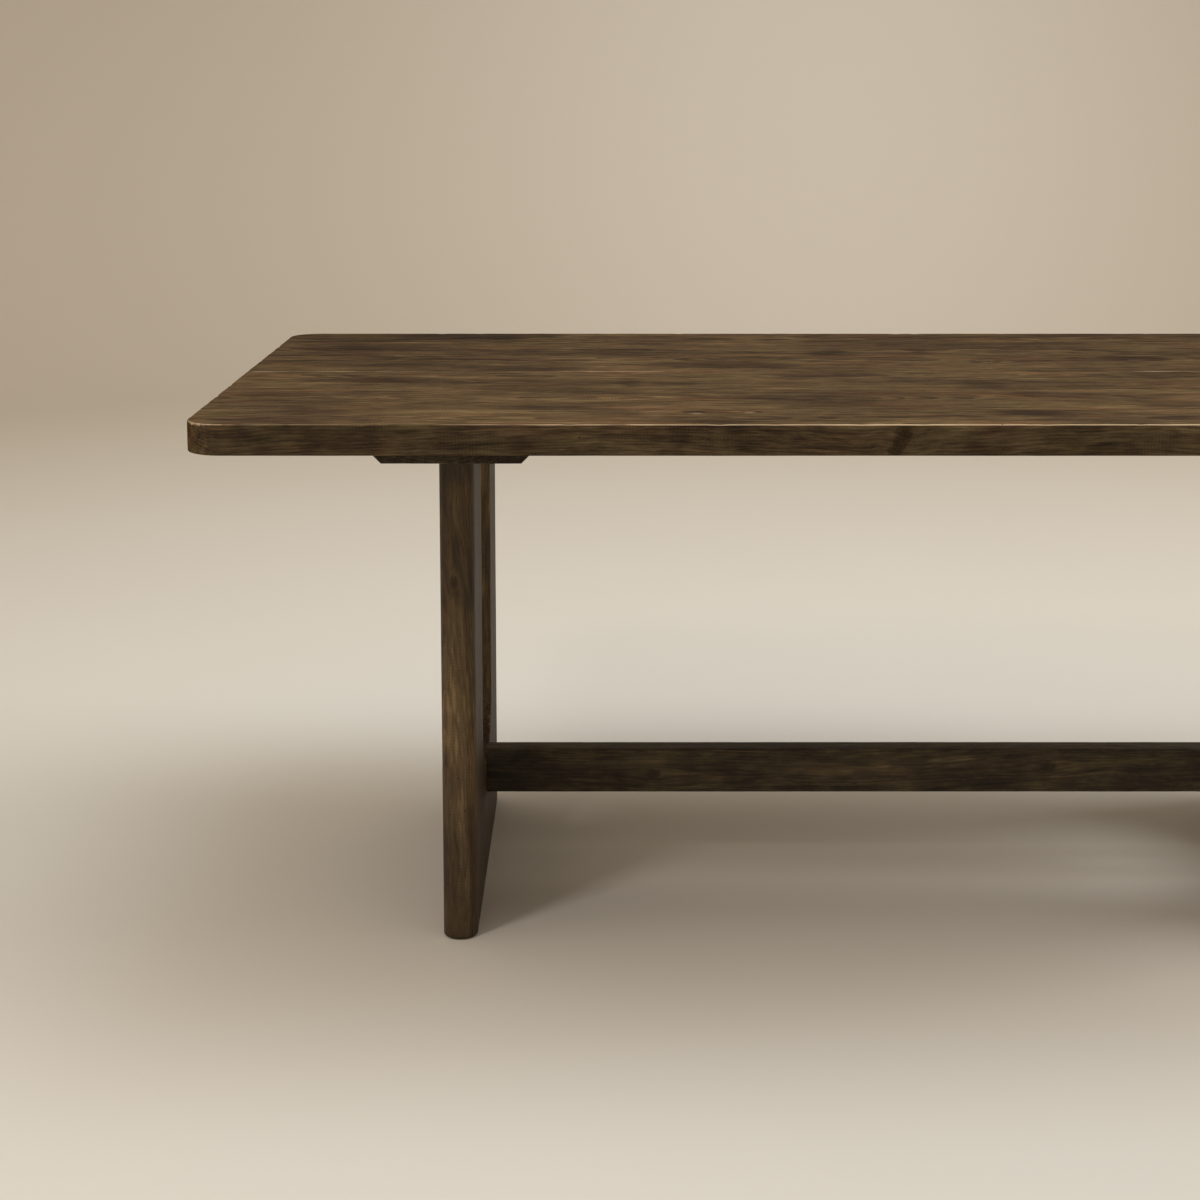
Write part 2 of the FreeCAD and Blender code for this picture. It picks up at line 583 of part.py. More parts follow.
def make_stretcher():
    body = place(new_body("stretcher"), z="Sizes.stretcher_lift")
    side, half = "Sizes.stretcher_thickness / 2", STRETCHER_HALF
    outline = new_sketch(body, "XY_Plane")
    rectangle(outline, f"-{half}", half, f"-{side}", side)
    pad(body, outline, "Sizes.stretcher_depth")
    y_side, end = value(side), value(half)

    def long_arris(edge):
        box = edge.BoundBox
        along = box.XLength > end and box.ZLength < TOLERANCE
        return along and (lies_at(edge, "y", -y_side) or lies_at(edge, "y", y_side))

    fillet(body, "Sizes.stretcher_round", long_arris)

    tenons = new_sketch(body, "XY_Plane", "Sizes.rail_tenon_lift")
    reach, cheek = f"({half} + Sizes.rail_tenon_length)", "Sizes.rail_tenon_thickness / 2"
    rectangle(tenons, f"-{reach}", reach, f"-{cheek}", cheek)
    pad(body, tenons, "Sizes.rail_tenon_height")

    bolt_height = "Sizes.rail_tenon_lift + Sizes.rail_tenon_height / 2"
    bolt_tip = f"({RAIL_BOLT_SEAT} + Sizes.rail_bolt_length)"
    bolt_reach = f"{bolt_tip} - Sizes.leg_thickness / 2 + Sizes.rail_tenon_length + Sizes.end_gap"
    for sign, inward in (("-", True), ("", False)):
        holes = new_sketch(body, "YZ_Plane", f"{sign}{reach}")
        circle(holes, "0", bolt_height, "Sizes.bolt_radius + Sizes.bolt_play")
        pocket(body, holes, bolt_reach, along_normal=inward)

    nut_holes = new_sketch(body, "XY_Plane")
    for sign in ("-", ""):
        circle(nut_holes, f"{sign}({half} - Sizes.cross_nut_inset)", "0", "Sizes.cross_nut_radius")
    pocket(body, nut_holes, f"{bolt_height} + Sizes.cross_nut_height / 2", along_normal=True)


# ---------------------------------------------------------------- fasteners, dowels and glides
# Each kind of fastener is drawn along +Z from its seat at the origin, head below the seat.


def primitive(kind, name, z="0", **sizes):
    made = doc.addObject(f"Part::{kind}", name)
    for size_name, expression in sizes.items():
        made.setExpression(size_name, expression)
    return place(made, z=z)


def cylinder(name, radius, height, z="0"):
    return primitive("Cylinder", name, z=z, Radius=radius, Height=height)


def combine(kind, name, base, tool):
    made = doc.addObject(f"Part::{kind}", name)
    made.Base = base
    made.Tool = tool
    return made


def group(label, members, side):
    """One node that holds several separate solids of the same fastener."""
    made = doc.addObject("Part::Compound", label)
    made.Links = members
    return keep(set_trestle(made, side), label)


def hexagon(name, z, radius, height):
    prism = primitive("Prism", name, z=z, Circumradius=radius, Height=height)
    prism.Polygon = 6
    return prism


def connector_bolt(name, length):
    """A flat-headed bolt with a hexagonal socket."""
    head_z = "-Sizes.bolt_head_height"
    shank = cylinder(f"{name}_shank", "Sizes.bolt_radius", length)
    head = cylinder(f"{name}_head", "Sizes.bolt_head_radius", "Sizes.bolt_head_height", head_z)
    whole = combine("Fuse", f"{name}_whole", head, shank)
    socket = hexagon(f"{name}_socket", head_z, "Sizes.socket_radius", "Sizes.socket_depth")
    return combine("Cut", name, whole, socket)


def coach_screw(name):
    head_z, head_height = "-Sizes.coach_head_height", "Sizes.coach_head_height"
    shank = cylinder(f"{name}_shank", "Sizes.coach_radius", "Sizes.coach_length")
    head = hexagon(f"{name}_head", head_z, "Sizes.coach_head_radius", head_height)
    return combine("Fuse", name, head, shank)


def glide_screw(name):
    head_z, head_height = "-Sizes.glide_head_height", "Sizes.glide_head_height"
    shank = cylinder(f"{name}_shank", "Sizes.glide_screw_radius", "Sizes.glide_screw_length")
    head = cylinder(f"{name}_head", "Sizes.glide_head_radius", head_height, head_z)
    return combine("Fuse", name, head, shank)


def ring(name, outer, inner, height):
    """A washer, or an insert's sleeve."""
    disc = cylinder(f"{name}_disc", outer, height)
    hole = cylinder(f"{name}_hole", inner, height)
    return combine("Cut", name, disc, hole)


def washer(name, hole_radius):
    return ring(name, "Sizes.washer_radius", hole_radius, "Sizes.washer_thickness")


def threaded_insert(name):
    return ring(name, "Sizes.insert_radius", "Sizes.bolt_radius", "Sizes.insert_length")


def cross_nut(name):
    """An upright steel cylinder that a stretcher bolt screws into from the side."""
    nut = cylinder(f"{name}_body", "Sizes.cross_nut_radius", "Sizes.cross_nut_height")
    hole = cylinder(f"{name}_hole", "Sizes.bolt_radius", "2 * Sizes.cross_nut_radius")
    place(hole, x="-Sizes.cross_nut_radius", z="Sizes.cross_nut_height / 2", rotation=TOWARDS_X)
    return combine("Cut", name, nut, hole)


def foot_glide(name):
    """A nylon disc, recessed in its lower face for the head of its screw."""
    disc = cylinder(f"{name}_disc", "Sizes.glide_radius", "Sizes.glide_height")
    recess_radius = "Sizes.glide_head_radius + Sizes.bolt_play"
    recess = cylinder(f"{name}_recess", recess_radius, GLIDE_HEAD_SEAT)
    hole = cylinder(f"{name}_hole", "Sizes.glide_screw_radius", "Sizes.glide_height")
    stepped = combine("Cut", f"{name}_stepped", disc, recess)
    return combine("Cut", name, stepped, hole)


def make_fixings(side):
    bolts, washers, inserts = [], [], []
    seat = f"({BEARER_UNDERSIDE} - Sizes.washer_thickness)"
    for number, (across, along, _) in enumerate(top_bolt_spots()):
        tag = f"{side}_{number}"
        bolt = connector_bolt(f"top_bolt_{tag}", "Sizes.top_bolt_length")
        bolts.append(place(bolt, across, along, seat))
        disc = washer(f"top_washer_{tag}", "Sizes.bolt_radius")
        washers.append(place(disc, across, along, seat))
        insert = threaded_insert(f"top_insert_{tag}")
        inserts.append(place(insert, across, along, TOP_UNDERSIDE))
    group(f"top_bolts_{side}", bolts, side)
    group(f"top_bolt_washers_{side}", washers, side)
    group(f"top_inserts_{side}", inserts, side)

    screws, screw_washers = [], []
    for number, along in enumerate(coach_spots()):
        tag = f"{side}_{number}"
        screw = coach_screw(f"coach_screw_{tag}")
        screws.append(place(screw, "0", along, COACH_SEAT, UPSIDE_DOWN))
        disc = washer(f"coach_washer_{tag}", "Sizes.coach_radius")
        screw_washers.append(place(disc, "0", along, COACH_SEAT, UPSIDE_DOWN))
    group(f"post_screws_{side}", screws, side)
    group(f"post_screw_washers_{side}", screw_washers, side)

    dowels = []
    for height in ("Sizes.lower_dowel", "Sizes.upper_dowel"):
        for sign in ("-", ""):
            number = len(dowels)
            dowel = cylinder(f"dowel_{side}_{number}", "Sizes.dowel_radius", "Sizes.dowel_length")
            start = f"{sign}{SEAM_SIDE} + Sizes.dowel_length / 2"
            dowels.append(place(dowel, "0", start, height, TOWARDS_FRONT))
    group(f"leg_dowels_{side}", dowels, side)

    bolt = connector_bolt(f"rail_bolt_{side}", "Sizes.rail_bolt_length")
    place(bolt, RAIL_BOLT_SEAT, "0", RAIL_BOLT_HEIGHT, TOWARDS_X)
    group(f"stretcher_bolt_{side}", [bolt], side)
    disc = washer(f"rail_washer_{side}", "Sizes.bolt_radius")
    place(disc, RAIL_BOLT_SEAT, "0", RAIL_BOLT_HEIGHT, TOWARDS_X)
    group(f"stretcher_bolt_washer_{side}", [disc], side)
    nut = cross_nut(f"cross_nut_part_{side}")
    nut_floor = f"{RAIL_BOLT_HEIGHT} - Sizes.cross_nut_height / 2"
    place(nut, "Sizes.leg_thickness / 2 + Sizes.cross_nut_inset", "0", nut_floor)
    group(f"stretcher_cross_nut_{side}", [nut], side)

    glides, glide_screws = [], []
    for sign in ("-", ""):
        for along in GLIDE_PLACES:
            tag = f"{side}_{len(glides)}"
            glides.append(place(foot_glide(f"glide_{tag}"), "0", f"{sign}{along}"))
            screw = glide_screw(f"glide_screw_{tag}")
            glide_screws.append(place(screw, "0", f"{sign}{along}", GLIDE_HEAD_SEAT))
    group(f"foot_glides_{side}", glides, side)
    group(f"foot_glide_screws_{side}", glide_screws, side)


# ---------------------------------------------------------------- build, check and write

make_top()
make_stretcher()
for table_side in ("left", "right"):
    make_bearer(table_side)
    make_post_board(table_side, "front", turned=(table_side == "right"))
    make_post_board(table_side, "back", turned=(table_side == "left"))
    make_key_board(table_side)
    make_fixings(table_side)
doc.recompute()

for item in doc.Objects:
    if "Invalid" in item.State or "Error" in item.State:
        raise RuntimeError(f"{item.Name} failed: {item.State}")
for label, made in nodes.items():
    if made.Shape.isNull() or not made.Shape.isValid() or not made.Shape.Solids:
        raise RuntimeError(f"{label} has no valid solid")
for label, made in nodes.items():
    made.Shape.exportStep(f"parts/{label}.step")
    print(label, len(made.Shape.Solids), "solid(s), volume", round(made.Shape.Volume))
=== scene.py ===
import math

import bmesh
import bpy
import numpy as np
from mathutils import Euler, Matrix, Vector, kdtree, noise


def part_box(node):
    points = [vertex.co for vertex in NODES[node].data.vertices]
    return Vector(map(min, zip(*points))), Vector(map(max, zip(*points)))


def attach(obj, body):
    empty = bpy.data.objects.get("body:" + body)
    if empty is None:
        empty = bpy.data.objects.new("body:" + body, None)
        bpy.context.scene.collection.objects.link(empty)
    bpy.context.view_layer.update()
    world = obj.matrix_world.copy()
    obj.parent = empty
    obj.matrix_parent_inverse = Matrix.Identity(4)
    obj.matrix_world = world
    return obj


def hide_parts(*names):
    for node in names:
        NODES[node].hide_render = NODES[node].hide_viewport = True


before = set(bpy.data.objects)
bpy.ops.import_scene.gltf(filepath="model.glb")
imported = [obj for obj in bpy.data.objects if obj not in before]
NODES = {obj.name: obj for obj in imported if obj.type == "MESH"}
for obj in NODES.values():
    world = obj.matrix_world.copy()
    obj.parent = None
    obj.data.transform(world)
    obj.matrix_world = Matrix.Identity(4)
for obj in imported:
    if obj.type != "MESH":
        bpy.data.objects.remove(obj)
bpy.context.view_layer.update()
X, Y, Z = 0, 1, 2


# ---------------------------------------------------------------- node graphs

BELL_BASE = 2.718


class Signal:
    """A node's output. Arithmetic on it adds math nodes to its graph; a tuple counts as a vector."""

    def __init__(self, graph, socket):
        self.graph = graph
        self.socket = socket
        self.is_vector = socket.type != "VALUE"

    def combine(self, operation, other):
        other_is_vector = other.is_vector if isinstance(other, Signal) else isinstance(other, tuple)
        if not (self.is_vector or other_is_vector):
            return self.graph.math(operation, self, other)
        if operation == "MULTIPLY" and not other_is_vector:
            return self.graph.scale(self, other)
        return self.graph.vector(operation, self, other)

    def __add__(self, other):
        return self.combine("ADD", other)

    def __sub__(self, other):
        return self.combine("SUBTRACT", other)

    def __mul__(self, other):
        return self.combine("MULTIPLY", other)

    def __truediv__(self, other):
        return self.combine("DIVIDE", other)

    def __abs__(self):
        return self.graph.math("ABSOLUTE", self)

    def split(self):
        made = self.graph.add("SeparateXYZ", [self])
        return [Signal(self.graph, socket) for socket in made.outputs]


def total(first, *others):
    return sum(others, first)


class Graph:
    """Adds nodes to one node tree; a value is a number, a tuple, a signal or a socket."""

    def __init__(self, tree):
        self.tree = tree

    def feed(self, socket, value):
        if isinstance(value, Signal):
            value = value.socket
        if isinstance(value, bpy.types.NodeSocket):
            self.tree.links.new(value, socket)
        elif value is not None:
            socket.default_value = value

    def add(self, kind, inputs=(), **settings):
        made = self.tree.nodes.new(f"ShaderNode{kind}")
        for name, value in settings.items():
            setattr(made, name, value)
        pairs = inputs.items() if isinstance(inputs, dict) else enumerate(inputs)
        for key, value in pairs:
            self.feed(made.inputs[key], value)
        return made

    def read(self, kind, output, inputs=(), **settings):
        """One output of a new node."""
        return Signal(self, self.add(kind, inputs, **settings).outputs[output])

    def math(self, operation, *values, clamp=False):
        return self.read("Math", 0, values, operation=operation, use_clamp=clamp)

    def vector(self, operation, *values):
        output = "Value" if operation in ("LENGTH", "DOT_PRODUCT") else "Vector"
        return self.read("VectorMath", output, values, operation=operation)

    def scale(self, vector, factor):
        return self.read("VectorMath", "Vector", {0: vector, "Scale": factor}, operation="SCALE")

    def join(self, x, y, z):
        return self.read("CombineXYZ", 0, [x, y, z])

    def noise(self, vector, detail=2.0, roughness=0.5, output="Fac"):
        inputs = {"Vector": vector, "Scale": 1.0, "Detail": detail, "Roughness": roughness}
        return self.read("TexNoise", output, inputs)

    def wander(self, vector, reach):
        """A noise in three directions about zero, each with its own reach."""
        return (self.noise(vector, output="Color") - (0.5, 0.5, 0.5)) * reach

    def ease(self, value, low, high, to_low=0.0, to_high=1.0):
        """A smooth step from one range to another."""
        inputs = {0: value, 1: low, 2: high, 3: to_low, 4: to_high}
        return self.read("MapRange", 0, inputs, interpolation_type="SMOOTHSTEP")

    def bell(self, value, sharpness):
        """One where the value is zero, falling off on both sides."""
        return self.math("POWER", BELL_BASE, value * value * -sharpness)

    def mix(self, factor, first, second, blend="MIX"):
        made = self.add("Mix", data_type="RGBA", blend_type=blend, clamp_factor=True)
        self.feed(made.inputs["Factor"], factor)
        colours = [socket for socket in made.inputs if socket.type == "RGBA"]
        for socket, value in zip(colours, (first, second)):
            self.feed(socket, value)
        return Signal(self, next(socket for socket in made.outputs if socket.type == "RGBA"))

    def tinted(self, colour, tint, factor=1.0):
        return self.mix(factor, colour, tint, "MULTIPLY")

    def group(self, tree, **inputs):
        made = self.add("Group", inputs, node_tree=tree)
        return {socket.name: Signal(self, socket) for socket in made.outputs}


def new_group(name, inputs, outputs):
    """The graph of an empty node group, its inputs as signals, and the sockets of its outputs."""
    tree = bpy.data.node_groups.new(name, "ShaderNodeTree")
    for label, kind in inputs.items():
        tree.interface.new_socket(label, in_out="INPUT", socket_type=f"NodeSocket{kind}")
    for label, kind in outputs.items():
        tree.interface.new_socket(label, in_out="OUTPUT", socket_type=f"NodeSocket{kind}")
    g = Graph(tree)
    source, sink = tree.nodes.new("NodeGroupInput"), tree.nodes.new("NodeGroupOutput")
    return g, [Signal(g, socket) for socket in source.outputs[:len(inputs)]], sink.inputs


def new_material(name):
    """A material, its graph, and its shader, linked to the output."""
    made = bpy.data.materials.new(name)
    made.use_nodes = True
    made.node_tree.nodes.clear()
    g = Graph(made.node_tree)
    shader = g.add("BsdfPrincipled")
    g.add("OutputMaterial", {"Surface": shader.outputs[0]})
    return made, g, shader


def rgb(red, green, blue):
    return (red, green, blue, 1.0)


def grey(level):
    return rgb(level, level, level)


# ---------------------------------------------------------------- timber

YEAR_WIDTH = 0.0038  # metres from one growth ring to the next
CHATTER_PITCH = 0.0046  # metres from one mark of the plane to the next

STAIN = (  # the stained wood's colours, by shade
    (0.0, rgb(0.0225, 0.0144, 0.0088)),
    (0.30, rgb(0.051, 0.0308, 0.0166)),
    (0.52, rgb(0.086, 0.0525, 0.0245)),
    (0.76, rgb(0.129, 0.0822, 0.0385)),
    (1.0, rgb(0.212, 0.135, 0.065)),
)
REDDER, GREENER, BLOTCHED = rgb(1.16, 0.85, 0.74), rgb(0.92, 1.03, 0.80), rgb(0.515, 0.515, 0.56)
# the darker stain colour also paints shade
MORE_STAIN_AND_SHADE, LESS_STAIN = rgb(0.455, 0.45, 0.50), rgb(0.24, 0.17, 0.10)
KNOT_DARK, KNOT_LIGHT = rgb(0.020, 0.0135, 0.008), rgb(0.062, 0.036, 0.018)
KNOT_RIM, HOLE = rgb(0.014, 0.010, 0.006), rgb(0.010, 0.007, 0.005)
# light bare wood on worn arrises; on the top's upper rim also a painted highlight
BARE_WOOD_AND_HIGHLIGHT = rgb(0.60, 0.455, 0.30)
PLAIN = (1.0, 1.0, 1.0)


def knot_group():
    """A knot: how it pushes the grain aside, its core, its dark rim and its own rings."""
    g, (grain, centre, axis, radius, reach), sinks = new_group(
        "knot",
        {"Grain": "Vector", "Centre": "Vector", "Axis": "Vector", "Radius": "Float", "Reach": "Float"},
        {"Push": "Vector", "Core": "Float", "Rim": "Float", "Rings": "Float"},
    )
    off = grain - centre
    along = g.vector("DOT_PRODUCT", off, axis)
    across = off - axis * along
    fade = g.ease(abs(along) / reach, 0.6, 1.0, 1.0, 0.0)

    wobble = (g.noise(off * 90.0) - 0.5) * 0.7
    distance = g.vector("LENGTH", across * (0.62, 1.0, 1.0)) / radius + wobble
    core = g.ease(distance, 0.35, 1.25, 1.0, 0.0) * fade
    broken = g.ease(g.noise(off * (150.0, 110.0, 110.0)), 0.40, 0.62)
    rim = g.bell(distance - 0.95, 9.0) * broken * fade
    rings = g.noise(off * 240.0, 3.0)

    flow = g.vector("LENGTH", across * (0.30, 1.0, 1.0)) / (radius * 2.1)
    push = across * (0.0, 1.0, 1.0) * (g.bell(flow, 1.0) * fade * -0.82)
    for socket, value in zip(sinks, (push, core, rim, rings)):
        g.feed(socket, value)
    return g.tree


KNOT = knot_group()


def timber_group():
    """Stained solid timber. Grain holds metres along the grain, across it and through the board."""
    g, signals, sinks = new_group(
        "timber",
        {
            "Grain": "Vector", "Pushed": "Vector", "Pith": "Vector", "Normal": "Vector",
            "Core": "Float", "Rim": "Float", "Rings": "Float", "Wear": "Float", "Tone": "Float",
            "Dullness": "Float", "Side": "Float", "Edge": "Color", "Contrast": "Float",
        },
        {"Colour": "Color", "Roughness": "Float", "Height": "Float"},
    )
    grain, pushed, pith, facing, core, rim, knot_rings, wear_and_highlight, tone, dullness = signals[:10]
    side_tone, edge, contrast = signals[10:]
    end_facing, side_facing, _ = facing.split()
    end_grain = g.ease(abs(end_facing), 0.55, 0.95)
    side = g.ease(abs(side_facing), 0.6, 0.95)  # one on the edges of the board, zero on its faces

    # Growth rings about the pith, bent by slow drift, by small ripples and by the knots.
    drift = g.wander(grain * (1.1, 3.5, 3.5), (0.0, 0.075, 0.075))
    ripple = g.wander(grain * (9.0, 22.0, 22.0), (0.0, 0.007, 0.007))
    bent = pushed + drift + ripple
    _, ring_y, ring_z = (bent - pith).split()
    radius = g.math("SQRT", ring_y * ring_y + ring_z * ring_z)
    uneven = g.noise(g.join(radius * 120.0, 0.0, 0.0))
    phase = g.math("FRACT", radius / YEAR_WIDTH + uneven * 1.7)
    late = g.ease(phase, 0.20, 0.88) * g.ease(phase, 0.92, 1.0, 1.0, 0.0)
    along = grain.split()[0]
    year = g.noise(g.join(radius * 42.0, along * 0.6, 0.0))

    # Streaks from fine to broad, long in the grain. They follow the bent grain.
    _, bent_y, bent_z = bent.split()
    flow = g.join(along, bent_y, bent_z)
    pores = g.ease(g.noise(flow * (55.0, 1500.0, 1500.0), 1.0), 0.60, 0.72)
    fibre = g.noise(flow * (34.0, 520.0, 520.0), 3.0, 0.62)
    dash = g.noise(flow * (19.0, 210.0, 210.0), 3.0, 0.62)
    thread = g.noise(flow * (9.0, 125.0, 125.0))
    thread = g.ease(thread, 0.41, 0.37) - g.ease(thread, 0.59, 0.63)
    streak = g.noise(flow * (7.5, 84.0, 84.0), 4.0, 0.66)
    hue = g.noise(flow * (6.5, 38.0, 38.0))
    band = g.noise(flow * (3.6, 21.0, 21.0))

    # Patches that don't follow it.
    cloud = g.noise(grain * (24.0, 46.0, 46.0), 4.0, 0.62)
    blotch = g.noise(grain * (4.0, 9.0, 9.0), 3.0, 0.55)

    # Chatter marks of the plane across the grain, here and there.
    patch = g.ease(g.noise(grain * (7.0, 16.0, 16.0)), 0.50, 0.64)
    wave = g.math("SINE", along * (2 * math.pi / CHATTER_PITCH) + blotch * 14.0 + dash * 7.0)
    chatter = g.ease(wave, 0.2, 1.0) * patch

    # Small worm holes, in few of the cells.
    cells = g.add("TexVoronoi", {"Vector": grain, "Scale": 62.0}, feature="F1").outputs
    rare = g.math("GREATER_THAN", Signal(g, cells["Color"]).split()[0], 0.72)
    hole = g.ease(cells["Distance"], 0.045, 0.075, 1.0, 0.0) * rare

    def swing(reading, middle, on_faces, on_edges=None):
        """A reading about its middle, with a weight for the board's faces and one for its edges."""
        if on_edges is None:
            return (reading - middle) * on_faces
        return (reading - middle) * (side * (on_edges - on_faces) + on_faces)

    shade = total(
        swing(streak, 0.5, 0.66, 0.49),
        swing(dash, 0.5, 0.70, 0.56),
        swing(band, 0.5, 0.40),
        swing(cloud, 0.5, 0.45, 0.70),
        swing(fibre, 0.5, 0.85, 0.60),
        thread * 0.13,
        swing(blotch, 0.5, 0.52, 0.22),
        swing(year, 0.5, 0.32),
        swing(late, 0.38, -0.25, -0.11),
    )
    # Side shifts the shade of the edges: painted shade on the top's edges, painted light on the legs' fronts
    # and backs
    shade = shade * contrast + side * side_tone
    ramp = g.add("ValToRGB", [g.math("ADD", shade, tone, clamp=True)])
    stops = ramp.color_ramp.elements
    for position, _ in STAIN[1:-1]:
        stops.new(position)
    for stop, (position, colour) in zip(stops, STAIN):
        stop.position, stop.color = position, colour
    colour = Signal(g, ramp.outputs[0])

    # The hue of the stain varies; pores, chatter, knots and end grain are darker.
    colour = g.tinted(colour, REDDER, g.ease(hue, 0.50, 0.72) * (side * -0.18 + 0.46))
    colour = g.tinted(colour, GREENER, g.ease(hue, 0.50, 0.30, 0.0, 0.45))
    colour = g.tinted(colour, BLOTCHED, g.ease(blotch, 0.36, 0.60, 0.45, 0.0))
    # painted sheen: the edges take a cooler, greyer tint
    colour = g.tinted(colour, edge, side)
    colour = g.tinted(colour, grey(0.40), pores * 0.55)
    colour = g.tinted(colour, grey(0.50), chatter * 0.32)
    colour = g.mix(core * 0.82, colour, g.mix(g.ease(knot_rings, 0.35, 0.65), KNOT_DARK, KNOT_LIGHT))
    colour = g.mix(rim * 0.55, colour, KNOT_RIM)
    colour = g.tinted(colour, grey(0.48), end_grain * 0.6)

    # Bare wood on the rubbed arrises, in ragged patches. On the top's upper rim the lighter colour is also a
    # painted highlight.
    rubbed_and_highlit = wear_and_highlight + (streak - 0.5) * 0.9 + (blotch - 0.5) * 0.7
    rubbed_and_highlit = g.ease(rubbed_and_highlit, 0.45, 0.95) * g.ease(wear_and_highlight, 0.05, 0.45)
    colour = g.mix(rubbed_and_highlit * 0.85, colour, BARE_WOOD_AND_HIGHLIGHT)
    colour = g.mix(hole, colour, HOLE)

    rough = total(dullness, (fibre - 0.5) * 0.22, (blotch - 0.5) * 0.16, end_grain * 0.12)
    rough = g.math("ADD", rough, pores * 0.10, clamp=True)
    raised = total(fibre * 0.35, streak * 0.30, late * 0.12)
    height = raised - pores * 0.40 - chatter * 0.30 - rim * 0.40 - hole * 2.5
    for socket, value in zip(sinks, (colour, rough, height)):
        g.feed(socket, value)
    return g.tree


TIMBER = timber_group()


def timber(
    name, middle, grain_axis, pith, shift, tone, side_tone=0.0, knots=(), stains_and_shade=(), dullness=0.70, sheen=0.30,
    tint=PLAIN, edge=PLAIN, contrast=1.0,
):
    """A board's own material.

    Knots are (place in the row frame, axis, radius, reach). Stains are (place, half-sizes, strength): patches
    where the wood took up more stain, or less where the strength is below zero; some of the darker ones are
    painted shade.
    The edge colour tints the board's edges: a painted sheen, cooler and greyer than the wood.
    """
    order = {"X": (X, Y, Z), "Y": (Y, X, Z), "Z": (Z, Y, X)}[grain_axis]
    made, g, shader = new_material(name)

    def turned(vector):
        return tuple(vector[axis] for axis in order)

    def from_middle(spot):
        return turned(Vector(spot) - Vector(middle))

    place = g.read("TexCoord", "Object") - tuple(middle)
    local = g.join(*turned(place.split()))
    facing = g.join(*turned(g.read("NewGeometry", "Normal").split()))
    pushed, core, rim, rings = local, None, None, None
    for spot, axis, radius, reach in knots:
        direction = turned(Vector(axis).normalized())
        knot = g.group(KNOT, Grain=local, Centre=from_middle(spot), Axis=direction, Radius=radius, Reach=reach)
        pushed = pushed + knot["Push"]
        if core is None:
            core, rim, rings = knot["Core"], knot["Rim"], knot["Rings"]
        else:
            core = g.math("MAXIMUM", core, knot["Core"])
            rim = g.math("MAXIMUM", rim, knot["Rim"])
            rings = g.math("MINIMUM", rings, knot["Rings"])
    out = g.group(
        TIMBER,
        Grain=local + shift,
        Pushed=pushed + shift,
        Pith=tuple(Vector(pith) + Vector(shift)),
        Wear=g.read("Attribute", "Fac", attribute_name="wear_and_highlight"),
        Normal=facing, Core=core, Rim=rim, Rings=rings,
        Tone=tone, Dullness=dullness, Side=side_tone, Edge=rgb(*edge), Contrast=contrast,
    )
    # the tint of the bearers and the stretcher is a painted shade colour, cooler and greyer
    colour = g.tinted(out["Colour"], rgb(*tint))
    # darker patches: real stains, and painted shade where a list puts them there
    for spot, size, strength in stains_and_shade:
        ragged = g.noise(local * (14.0, 60.0, 60.0), 3.0, 0.6)
        distance = g.vector("LENGTH", (local - from_middle(spot)) / turned(size)) + (ragged - 0.5) * 1.6
        depth = g.ease(distance, 0.30, 1.30, abs(strength), 0.0)
        colour = g.tinted(colour, MORE_STAIN_AND_SHADE, depth) if strength > 0 else g.mix(depth, colour, LESS_STAIN)
    bump = g.add("Bump", {"Strength": 0.55, "Distance": 0.0006, "Height": out["Height"]})
    g.feed(shader.inputs["Base Color"], colour)
    g.feed(shader.inputs["Roughness"], out["Roughness"])
    g.feed(shader.inputs["Normal"], bump.outputs[0])
    shader.inputs["Specular IOR Level"].default_value = sheen
    return made


# ---------------------------------------------------------------- hardware, glides and dowels


def finish_surface(g, shader, colour, texture, roughness, strength, depth):
    """Feeds the shader a colour, and a roughness and a bump that follow one texture."""
    bump = g.add("Bump", {"Strength": strength, "Distance": depth, "Height": texture})
    g.feed(shader.inputs["Base Color"], colour)
    g.feed(shader.inputs["Roughness"], g.ease(texture, 0.3, 0.7, *roughness))
    g.feed(shader.inputs["Normal"], bump.outputs[0])


def zinc_steel():
    made, g, shader = new_material("zinc_plated_steel")
    place = g.read("TexCoord", "Object")
    mottle = g.noise(place * 260.0, 3.0, 0.6)
    brushed = g.noise(place * (900.0, 2400.0, 2400.0))
    colour = g.mix(g.ease(mottle, 0.35, 0.70), rgb(0.50, 0.50, 0.47), rgb(0.70, 0.70, 0.68))
    colour = g.mix(g.ease(mottle, 0.62, 0.78, 0.0, 0.5), colour, rgb(0.50, 0.47, 0.36))
    finish_surface(g, shader, colour, brushed, (0.26, 0.44), 0.3, 0.0001)
    shader.inputs["Metallic"].default_value = 1.0
    return made


def nylon():
    made, g, shader = new_material("glide_nylon")
    scuff = g.noise(g.read("TexCoord", "Object") * 380.0, 4.0, 0.65)
    colour = g.mix(g.ease(scuff, 0.45, 0.75), rgb(0.030, 0.027, 0.024), rgb(0.085, 0.078, 0.070))
    finish_surface(g, shader, colour, scuff, (0.40, 0.62), 0.4, 0.0002)
    return made


def beech():
    made, g, shader = new_material("dowel_beech")
    fibre = g.noise(g.read("TexCoord", "Object") * (700.0, 25.0, 700.0), 3.0, 0.6)
    colour = g.mix(g.ease(fibre, 0.3, 0.7), rgb(0.42, 0.26, 0.14), rgb(0.60, 0.42, 0.26))
    finish_surface(g, shader, colour, fibre, (0.50, 0.65), 0.3, 0.0002)
    return made


def dress_hardware():
    """Every CAD node that isn't a board keeps its mesh and gets a material."""
    for starts, material in (
        (("top_bolt", "top_insert", "post_screw", "stretcher_", "foot_glide_screw"), zinc_steel()),
        (("foot_glides",), nylon()),
        (("leg_dowels",), beech()),
    ):
        for node, part in NODES.items():
            if node.startswith(starts):
                for slot in part.material_slots:
                    slot.link = "OBJECT"
                    slot.material = material


# ---------------------------------------------------------------- worn boards

